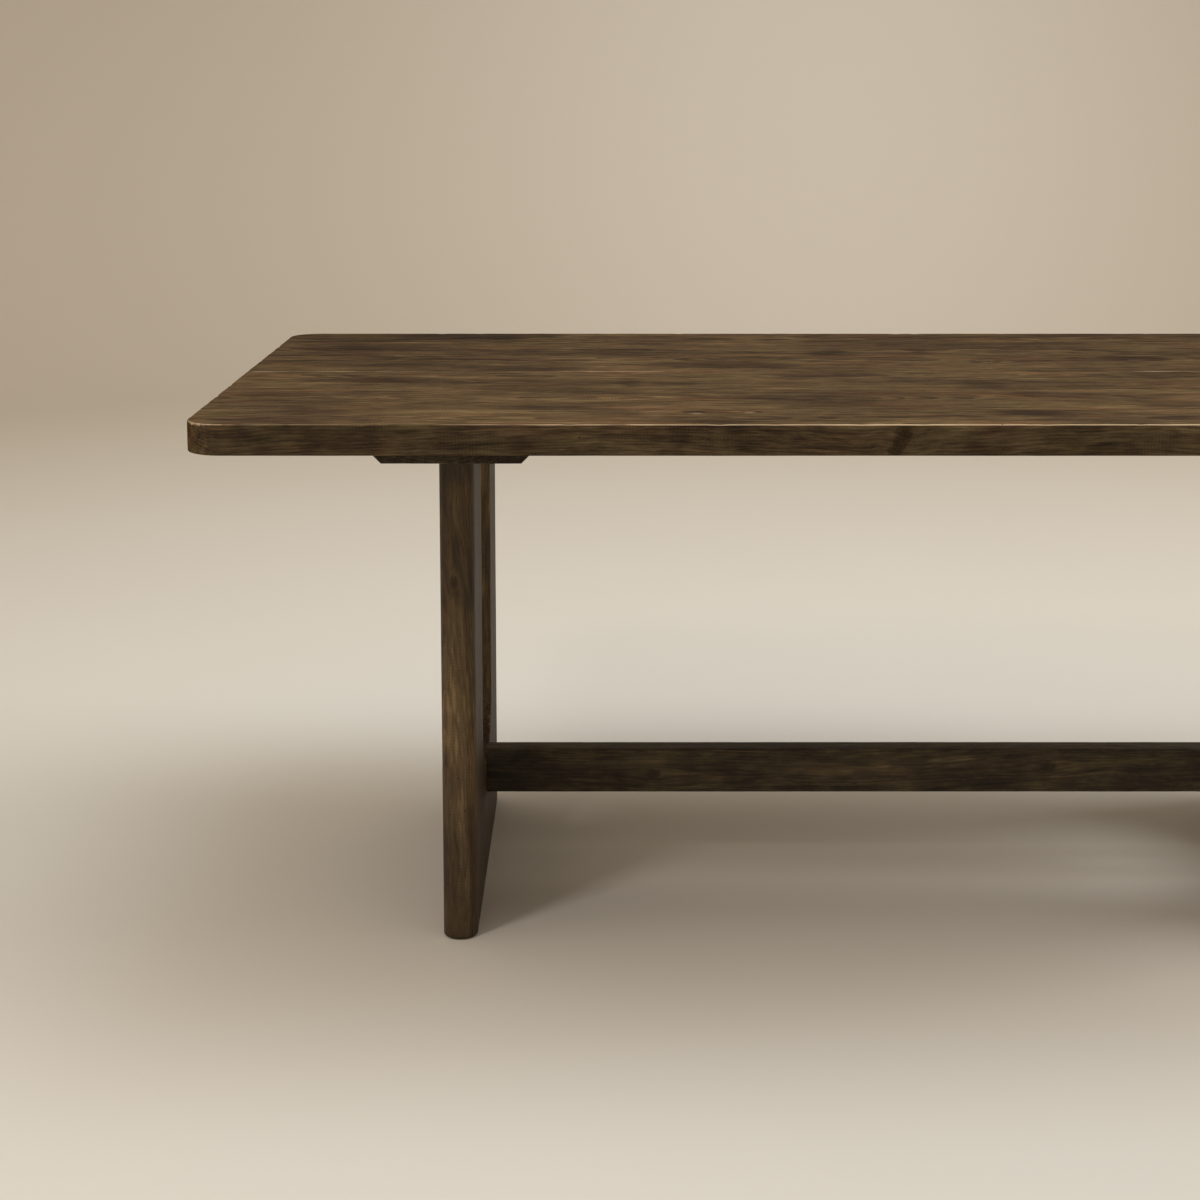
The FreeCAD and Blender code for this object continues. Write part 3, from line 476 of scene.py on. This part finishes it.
rng = np.random.default_rng(4315)

SAME_PLACE = 1e-6
ARRIS_RADIUS = 0.006  # a rounding tighter than this is an arris; the legs' noses are wider
FLAT_BEND, SHARP_BEND = 0.05, 0.6  # radians: never an arris below the first, always one above the second
ARRIS_STEP = 0.003
SHADED_SHARP = math.radians(40)

PLANED_DEPTH = 0.00010  # on average
RUBBED_DEPTH, RUBBED_REACH = 0.0003, 0.003
BARE_AND_HIGHLIGHT_REACH, BARE_AND_HIGHLIGHT_SWING = 0.0024, 0.0014  # how far from an arris the wood is bare; on the top's rim also how wide the painted highlight is
KNOCKS, KNOCK_RADII, KNOCK_DEPTHS = 14, (0.003, 0.009), (0.0003, 0.0009)
KNOCK_REACH = 0.01  # from an arris


def middle_of(node):
    low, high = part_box(node)
    return (low + high) / 2


def fixed(values):
    return tuple(float(value) for value in values)


def random_pith(spread, depths):
    return fixed((0.0, rng.uniform(-spread, spread), rng.uniform(*depths)))


def random_shift():
    return fixed(rng.uniform(-40, 40, 3))


def random_knocks(points):
    """Small dents (place, radius, depth) at some of the points."""
    chosen = rng.integers(0, max(1, len(points)), min(len(points), KNOCKS))
    return [(points[index], rng.uniform(*KNOCK_RADII), rng.uniform(*KNOCK_DEPTHS)) for index in chosen]


def merge_doubles(bm):
    bmesh.ops.remove_doubles(bm, verts=bm.verts, dist=SAME_PLACE)


def whole_board(node):
    """The CAD mesh of a board, with each flat face in one piece."""
    bm = bmesh.new()
    bm.from_mesh(NODES[node].data)
    merge_doubles(bm)
    bmesh.ops.dissolve_limit(
        bm, angle_limit=0.0005, verts=bm.verts, edges=bm.edges, use_dissolve_boundaries=False,
        delimit={"NORMAL"},
    )
    return bm


def arris_points(bm):
    """Points along every outward arris of a board, sharp or lightly rounded."""
    points = []
    for edge in bm.edges:
        if len(edge.link_faces) != 2 or not edge.is_convex:
            continue
        bend, length = edge.calc_face_angle(0.0), edge.calc_length()
        if bend < FLAT_BEND or length < SAME_PLACE:
            continue
        width = min(face.calc_area() for face in edge.link_faces) / length
        if bend < SHARP_BEND and width / bend > ARRIS_RADIUS:
            continue
        start, end = (vert.co.copy() for vert in edge.verts)
        count = max(1, math.ceil(length / ARRIS_STEP))
        points += [start.lerp(end, step / count) for step in range(count + 1)]
    return points


def keep_side(bm, axis, place, above):
    """Deletes the faces on one side of a cut."""
    gone = [face for face in bm.faces if (face.calc_center_median()[axis] > place) != above]
    bmesh.ops.delete(bm, geom=gone, context="FACES")


def slice_mesh(bm, axis, places):
    """Cuts the mesh at several places along one axis, half by half, and returns the cut mesh."""
    if not places:
        return bm
    middle = len(places) // 2
    normal = Vector([float(index == axis) for index in (X, Y, Z)])
    whole = bm.verts[:] + bm.edges[:] + bm.faces[:]
    bmesh.ops.bisect_plane(bm, geom=whole, dist=SAME_PLACE, plane_co=normal * places[middle], plane_no=normal)
    if len(places) == 1:
        return bm
    upper = bm.copy()
    keep_side(bm, axis, places[middle], False)
    keep_side(upper, axis, places[middle], True)
    lower, upper = slice_mesh(bm, axis, places[:middle]), slice_mesh(upper, axis, places[middle + 1:])
    carrier = bpy.data.meshes.new("carrier")
    upper.to_mesh(carrier)
    upper.free()
    lower.from_mesh(carrier)
    bpy.data.meshes.remove(carrier)
    return lower


def even_cuts(low, high, spacing):
    count = max(1, round((high - low) / spacing))
    return [low + (high - low) * step / count for step in range(1, count)]


def fall_off(distance, reach):
    return math.exp(-((distance / reach) ** 2))


def bareness_and_highlight(vert, share, distance):
    """How bare the wood is at a vertex near an arris, and on the top's rim how bright the painted highlight is:
    most where the surface slants.
    """
    reach = BARE_AND_HIGHLIGHT_REACH + BARE_AND_HIGHLIGHT_SWING * noise.noise(vert.co * 21.0)
    slant = 1.0 - max(abs(component) for component in vert.normal)
    return share * (0.3 + 0.7 * min(1.0, slant / 0.2)) * fall_off(distance, reach)


def worn_depth(place, share, distance, knocks):
    """How far planing, rubbing and knocks have lowered the surface at a place."""
    depth = PLANED_DEPTH * (1.0 + noise.noise(Vector((place.x * 7.0, place.y * 13.0, place.z * 13.0))))
    depth += share * RUBBED_DEPTH * (1.0 + noise.noise(place * 34.0)) * fall_off(distance, RUBBED_REACH)
    if distance < KNOCK_REACH:
        for spot, radius, deep in knocks:
            gap = (place - spot).length
            if gap < 2.5 * radius:
                depth += deep * fall_off(gap, radius)
    return depth


def worn_board(node, material, spacings, rubbed_and_highlit_side):
    """A CAD board with its surfaces planed by hand, its arrises rubbed and a few knocks in them.

    Spacings are (axis, distance between cuts). The last argument gives how much of the rubbing an arris gets at
    a point of the row frame, on the top's rim also how bright its painted highlight is, and whether it may be
    knocked there.
    """
    low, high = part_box(node)
    bm = whole_board(node)
    points = arris_points(bm)
    tree = kdtree.KDTree(len(points))
    for index, point in enumerate(points):
        tree.insert(point, index)
    tree.balance()
    shares, open_to_knocks = zip(*(rubbed_and_highlit_side(point) for point in points))
    knocks = random_knocks([point for point, knocked in zip(points, open_to_knocks) if knocked])
    for axis, spacing in spacings:
        bm = slice_mesh(bm, axis, even_cuts(low[axis], high[axis], spacing))
        merge_doubles(bm)

    bm.normal_update()
    wear_and_highlight, depths = [], []
    for vert in bm.verts:
        _, nearest, distance = tree.find(vert.co)
        wear_and_highlight.append(bareness_and_highlight(vert, shares[nearest], distance))
        depths.append(worn_depth(vert.co, shares[nearest], distance, knocks))
    for vert, depth in zip(bm.verts, depths):
        vert.co -= vert.normal * depth

    mesh = bpy.data.meshes.new(f"worn_{node}")
    bm.to_mesh(mesh)
    bm.free()
    mesh.attributes.new("wear_and_highlight", "FLOAT", "POINT").data.foreach_set("value", wear_and_highlight)
    mesh.shade_smooth()
    mesh.set_sharp_from_angle(angle=SHADED_SHARP)
    mesh.materials.append(material)
    piece = bpy.data.objects.new(f"worn_{node}", mesh)
    bpy.context.collection.objects.link(piece)
    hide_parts(node)
    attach(piece, "root")


# ---------------------------------------------------------------- the top

TOP_LEVEL, FRONT = 0.762, -0.508
CORNER_X, CORNER_Y = 0.95, 0.458  # centre of a rounded corner
RIM_LEVEL, RIM_REACH = 0.75, 0.046  # the upper rim lies above the first and beyond the second
SEAM_REACH = 0.01
CLEAR_SEAM = -0.19  # the clearest seam besides the middle one


def rubbed_and_highlit_top(point):
    """Most rubbed are the upper rim, above all on its long sides, and the two clearest seams. The rim's lighter
    colour is partly a painted highlight, which fades towards the ends.
    """
    beyond_x, beyond_y = abs(point.x) - CORNER_X, abs(point.y) - CORNER_Y
    reach = math.hypot(max(beyond_x, 0.0), max(beyond_y, 0.0)) + min(max(beyond_x, beyond_y), 0.0)
    if point.z < RIM_LEVEL:
        return 0.3, False
    if reach > RIM_REACH:
        # painted highlight: the rim's light line fades towards the ends
        return 1.0 - 0.28 * min(1.0, max(0.0, (abs(point.x) - 0.45) / 0.4)), True
    if abs(point.y) < SEAM_REACH:
        return 1.15, False
    return 0.95 if abs(point.y - CLEAR_SEAM) < SEAM_REACH else 0.7, False


def face_knot(x, y, radius):
    """A nearly upright knot in the upper face."""
    return ((x, y, TOP_LEVEL), (0.12, 0.2, 1.0), radius, 0.2)


def edge_spike(x, z, slope):
    """A branch cut lengthwise in the front edge: it shows as a dark slanting mark."""
    return ((x, FRONT, z), (slope, 0.06, 1.0), 0.0062, 0.030)


# a patch on the upper face; the broad ones at the left end of the rear boards are painted shade
def face_stain_and_shade(x, y, half_x, half_y, strength, half_z=0.03):
    return ((x, y, TOP_LEVEL), (half_x, half_y, half_z), strength)


def edge_stain(x, z, half_x, half_z, strength):
    return ((x, FRONT, z), (half_x, 0.02, half_z), strength)


# From the front board to the back one: tone, knots, stains. The tones fall steadily towards the back, painted
# shade on the rear of the top; the broad stains at the left end of boards 4 to 6 are painted shade too.
TOP_BOARDS = (
    (
        0.58,
        [face_knot(-0.346, -0.404, 0.010), face_knot(-0.272, -0.405, 0.008), edge_spike(-0.093, 0.741, 0.45),
         edge_spike(0.44, 0.738, -0.6), face_knot(0.61, -0.45, 0.012)],
        [face_stain_and_shade(0.085, -0.412, 0.065, 0.034, 0.85), face_stain_and_shade(-0.335, -0.485, 0.05, 0.016, 0.6),
         face_stain_and_shade(-0.838, -0.39, 0.07, 0.03, 0.5), face_stain_and_shade(-0.346, -0.418, 0.009, 0.009, -0.6, 0.02),
         face_stain_and_shade(-0.276, -0.408, 0.008, 0.008, -0.5, 0.02), edge_stain(-0.29, 0.742, 0.026, 0.02, 0.6),
         edge_stain(-0.372, 0.744, 0.016, 0.016, 0.7), edge_stain(0.02, 0.735, 0.05, 0.02, 0.5),
         edge_stain(-0.80, 0.740, 0.06, 0.02, 0.5), edge_stain(0.33, 0.745, 0.07, 0.02, 0.6),
         edge_stain(-0.60, 0.730, 0.12, 0.014, 0.4)],
    ),
    (
        0.55,
        [face_knot(0.42, -0.27, 0.014)],
        [face_stain_and_shade(0.66, -0.20, 0.10, 0.030, 0.5), face_stain_and_shade(-0.56, -0.36, 0.09, 0.026, 0.5)],
    ),
    (
        0.53,
        [face_knot(-0.68, -0.11, 0.010), face_knot(0.78, -0.06, 0.013)],
        [face_stain_and_shade(0.075, -0.135, 0.035, 0.036, 0.7), face_stain_and_shade(-0.80, -0.09, 0.10, 0.05, 0.6),
         face_stain_and_shade(-0.36, -0.135, 0.045, 0.020, 0.7), face_stain_and_shade(-0.43, -0.125, 0.022, 0.040, 0.6)],
    ),
    (
        0.485,
        [face_knot(0.12, 0.12, 0.012)],
        [face_stain_and_shade(-0.28, 0.07, 0.13, 0.040, 0.7), face_stain_and_shade(0.38, 0.17, 0.075, 0.050, 0.8),
         # the last stain is painted shade at the left end
         face_stain_and_shade(-0.59, 0.03, 0.075, 0.060, 0.75), face_stain_and_shade(-0.82, 0.10, 0.14, 0.08, 0.5)],
    ),
    (
        0.445,
        [face_knot(-0.40, 0.27, 0.010), face_knot(0.56, 0.30, 0.015)],
        # the second stain is painted shade at the left end
        [face_stain_and_shade(-0.10, 0.23, 0.055, 0.060, 0.75), face_stain_and_shade(-0.78, 0.28, 0.22, 0.10, 0.45),
         face_stain_and_shade(0.05, 0.30, 0.20, 0.030, 0.5)],
    ),
    (
        0.41,
        [face_knot(-0.12, 0.45, 0.012)],
        # the first stain is painted shade at the left end
        [face_stain_and_shade(-0.75, 0.45, 0.30, 0.07, 0.5), face_stain_and_shade(0.10, 0.45, 0.26, 0.034, 0.6)],
    ),
)


def make_top():
    for number, (tone, knots, stains_and_shade) in enumerate(TOP_BOARDS, 1):
        node = f"top_board_{number}"
        pith = random_pith(0.05, (-0.14, -0.06))
        # -0.09 darkens the boards' edges: painted shade
        material = timber(
            f"timber_{node}", middle_of(node), "X", pith, random_shift(), tone, -0.09, knots, stains_and_shade,
            # edge: a painted sheen on the boards' edges
            dullness=0.85, sheen=0.03, edge=(0.96, 1.10, 1.30),
        )
        worn_board(node, material, ((Y, 0.008), (Z, 0.007), (X, 0.006)), rubbed_and_highlit_top)


# ---------------------------------------------------------------- the legs, the bearers and the stretcher

LEG_KNOTS = {
    "leg_left_front_board": [((-0.671, -0.309, 0.512), (0.0, 1.0, 0.1), 0.005, 0.05),
                             ((-0.644, -0.20, 0.30), (1.0, 0.1, 0.1), 0.009, 0.08)],
    "leg_left_back_board": [((-0.691, 0.21, 0.46), (1.0, 0.1, 0.1), 0.008, 0.08)],
    "leg_right_front_board": [((0.668, -0.309, 0.37), (0.0, 1.0, 0.1), 0.006, 0.05)],
    "leg_right_back_board": [((0.691, 0.20, 0.24), (1.0, 0.1, 0.1), 0.009, 0.08)],
}
LEG_SHADE_AND_DARK_FOOT = (  # painted shade under the top, and a darker foot: height, half-height, strength
    (0.70, 0.06, 0.6),  # painted shade under the top
    (0.0, 0.24, 0.75),  # darker towards the foot
)
FOOT_LEVEL = 0.02  # the arrises below are rubbed less
STRETCHER_FRONT = -0.019
STRETCHER_KNOTS = [
    ((-0.392, STRETCHER_FRONT, 0.146), (0.1, 1.0, 0.1), 0.006, 0.05),
    ((0.21, STRETCHER_FRONT, 0.158), (0.1, 1.0, 0.1), 0.007, 0.05),
]
# real stains, and painted shade at both ends
STRETCHER_STAINS_AND_SHADE = [
    ((-0.62, STRETCHER_FRONT, 0.150), (0.085, 0.06, 0.07), 0.85),  # painted shade at both ends, where the stretcher meets the legs
    ((0.62, STRETCHER_FRONT, 0.150), (0.085, 0.06, 0.07), 0.85),
    ((-0.222, STRETCHER_FRONT, 0.149), (0.035, 0.03, 0.010), 0.6),
    ((-0.392, STRETCHER_FRONT, 0.161), (0.12, 0.03, 0.010), -0.10),
    ((-0.068, STRETCHER_FRONT, 0.155), (0.10, 0.03, 0.020), -0.09),
]


def rubbed_leg(point):
    return 0.35 if point.z < FOOT_LEVEL else 0.55, False


def rubbed_rail(point):
    return 0.45, False


def make_leg(side):
    for name in ("front_board", "back_board", "key_board"):
        node = f"leg_{side}_{name}"
        pith = random_pith(0.06, (0.05, 0.12))
        middle = middle_of(node)
        # painted shade under the top and darker towards the foot, laid on as stains of the leg's material
        stains_and_shade = [((middle[X], middle[Y], z), (0.3, 1.0, reach), strength) for z, reach, strength in LEG_SHADE_AND_DARK_FOOT]
        # 0.09 lightens the legs' front and back faces: painted light
        material = timber(
            f"timber_{node}", middle, "Z", pith, random_shift(), 0.54, 0.09, LEG_KNOTS.get(node, ()), stains_and_shade,
            # edge: a painted sheen on the legs' front and back faces
            dullness=0.60, edge=(0.99, 1.03, 1.01),
        )
        worn_board(node, material, ((Y, 0.007), (X, 0.008), (Z, 0.006)), rubbed_leg)


def make_bearer(side):
    node = f"bearer_{side}"
    pith = fixed((0.0, rng.uniform(-0.05, 0.05), 0.11))
    # the tint is a painted shade colour, cooler and greyer, for bearers that sit in shade
    material = timber(
        f"timber_{node}", middle_of(node), "Y", pith, random_shift(), 0.46, tint=(0.93, 1.06, 1.25)
    )
    worn_board(node, material, ((X, 0.008), (Z, 0.008), (Y, 0.006)), rubbed_rail)


def make_stretcher():
    # the tint is a painted shade colour, cooler and greyer, for a stretcher that sits in shade
    material = timber(
        "timber_stretcher", middle_of("stretcher"), "X", (0.0, 0.06, -0.05), random_shift(), 0.42,
        knots=STRETCHER_KNOTS, stains_and_shade=STRETCHER_STAINS_AND_SHADE, tint=(0.90, 1.08, 1.20), contrast=1.28,
    )
    worn_board("stretcher", material, ((Y, 0.007), (Z, 0.007), (X, 0.006)), rubbed_rail)


# ---------------------------------------------------------------- stage, light and camera

FLOOR_RADII = (0.5, 1.0, 1.6, 2.4, 3.4, 4.4, 5.4)
COVE_RADIUS, COVE_STEPS, WALL_TOP = 1.8, 12, 3.8
BOWL_TURNS = 96
FLOOR_LEVEL = -0.0003  # just clear of the glides
NEAR_PAINT = (rgb(0.620, 0.596, 0.545), rgb(0.640, 0.616, 0.563))
FAR_PAINT = rgb(0.517, 0.471, 0.402)
AMBIENT, BACKDROP = rgb(1.0, 0.86, 0.69), rgb(0.56, 0.47, 0.37)
CAMERA_PITCH = math.radians(90 - 8)  # 8 degrees below level


def circle(radius):
    angles = [2 * math.pi * turn / BOWL_TURNS for turn in range(BOWL_TURNS)]
    return [(radius * math.cos(angle), radius * math.sin(angle)) for angle in angles]


def bowl_mesh():
    """A round floor that curves up into a wall."""
    reach = FLOOR_RADII[-1]
    profile = [(radius, 0.0) for radius in FLOOR_RADII]
    for step in range(1, COVE_STEPS + 1):
        angle = math.pi / 2 * step / COVE_STEPS
        profile.append((reach + COVE_RADIUS * math.sin(angle), COVE_RADIUS * (1 - math.cos(angle))))
    profile.append((reach + COVE_RADIUS, WALL_TOP))
    bm = bmesh.new()
    rows = [[bm.verts.new((0, 0, 0))] * BOWL_TURNS]
    for radius, height in profile:
        rows.append([bm.verts.new((x, y, height)) for x, y in circle(radius)])
    for inner, outer in zip(rows, rows[1:]):
        for turn in range(BOWL_TURNS):
            after = (turn + 1) % BOWL_TURNS
            corners = [inner[turn], outer[turn], outer[after], inner[after]]  # they face inwards and up
            bm.faces.new(list(dict.fromkeys(corners)))
    mesh = bpy.data.meshes.new("studio_floor")
    bm.to_mesh(mesh)
    bm.free()
    mesh.shade_smooth()
    return mesh


def make_stage():
    """Floor and wall, well outside every camera. From below they aren't seen."""
    material, g, shader = new_material("studio_paint")
    place = g.read("TexCoord", "Object")
    near = g.mix(g.noise(place * 1.3), *NEAR_PAINT)
    g.feed(shader.inputs["Base Color"], g.mix(g.ease(g.vector("LENGTH", place), 2.6, 6.6), near, FAR_PAINT))
    shader.inputs["Roughness"].default_value = 0.9
    shader.inputs["Specular IOR Level"].default_value = 0.1
    behind = g.read("NewGeometry", "Backfacing")
    clear = g.add("BsdfTransparent").outputs[0]
    mixed = g.add("MixShader", [behind, shader.outputs[0], clear])
    g.feed(g.tree.get_output_node("ALL").inputs["Surface"], mixed.outputs[0])
    mesh = bowl_mesh()
    mesh.materials.append(material)
    made = bpy.data.objects.new("studio_floor", mesh)
    made.location.z = FLOOR_LEVEL
    bpy.context.collection.objects.link(made)


def make_light(name, place, aim, size, power, colour):
    data = bpy.data.lights.new(name, "AREA")
    data.shape, data.size, data.size_y = "RECTANGLE", size[0], size[1]
    data.energy, data.color = power, colour
    made = bpy.data.objects.new(name, data)
    made.location = place
    made.rotation_mode = "QUATERNION"
    made.rotation_quaternion = (Vector(aim) - Vector(place)).to_track_quat("-Z", "Y")
    bpy.context.collection.objects.link(made)
    made.visible_camera = False


def make_world():
    """Warm light from all round. The camera and reflections see a plain backdrop instead."""
    world = bpy.data.worlds.new("studio")
    bpy.context.scene.world = world
    world.use_nodes = True
    world.node_tree.nodes.clear()
    g = Graph(world.node_tree)
    light = g.add("Background", {"Color": AMBIENT, "Strength": 0.745})
    shown = g.add("Background", {"Color": BACKDROP, "Strength": 1.0})
    path = g.add("LightPath").outputs
    seen = g.math("MAXIMUM", path["Is Camera Ray"], path["Is Transmission Ray"])
    seen = g.math("MAXIMUM", seen, path["Is Glossy Ray"])
    mixed = g.add("MixShader", [seen, light.outputs[0], shown.outputs[0]])
    g.add("OutputWorld", {"Surface": mixed.outputs[0]})


def make_camera():
    data = bpy.data.cameras.new("camera")
    data.sensor_width = 36.0
    data.lens = 64.05
    data.shift_y = -0.174
    data.clip_end = 60.0
    made = bpy.data.objects.new("camera", data)
    made.location = (-0.4715, -3.1612, 1.1766)
    made.rotation_euler = Euler((CAMERA_PITCH, 0.0, 0.0))
    bpy.context.collection.objects.link(made)
    bpy.context.scene.camera = made


# ---------------------------------------------------------------- the scene

# The boards share one run of random draws, so their order stays.
make_top()
for side in ("left", "right"):
    make_leg(side)
    make_bearer(side)
make_stretcher()
dress_hardware()

make_stage()
make_light("overhead_softbox", (0.1, 0.3, 3.3), (0.0, 0.1, 0.0), (2.2, 1.6), 37.0, (0.86, 1.03, 1.19))
make_light("right_softbox", (8.2, 0.0, 6.0), (0.0, 0.0, 0.4), (5.0, 3.0), 420.0, (1.02, 0.99, 0.97))
make_light("front_left_key", (-2.2, -2.0, 2.7), (-0.4, 0.0, 0.3), (0.5, 0.5), 21.7, (1.05, 0.99, 0.97))
make_light("wall_wash", (0.5, 5.0, 2.2), (0.5, 7.2, 1.6), (1.6, 1.2), 20.0, (0.95, 1.02, 1.10))
make_world()
make_camera()
bpy.context.scene.view_settings.view_transform = "Standard"
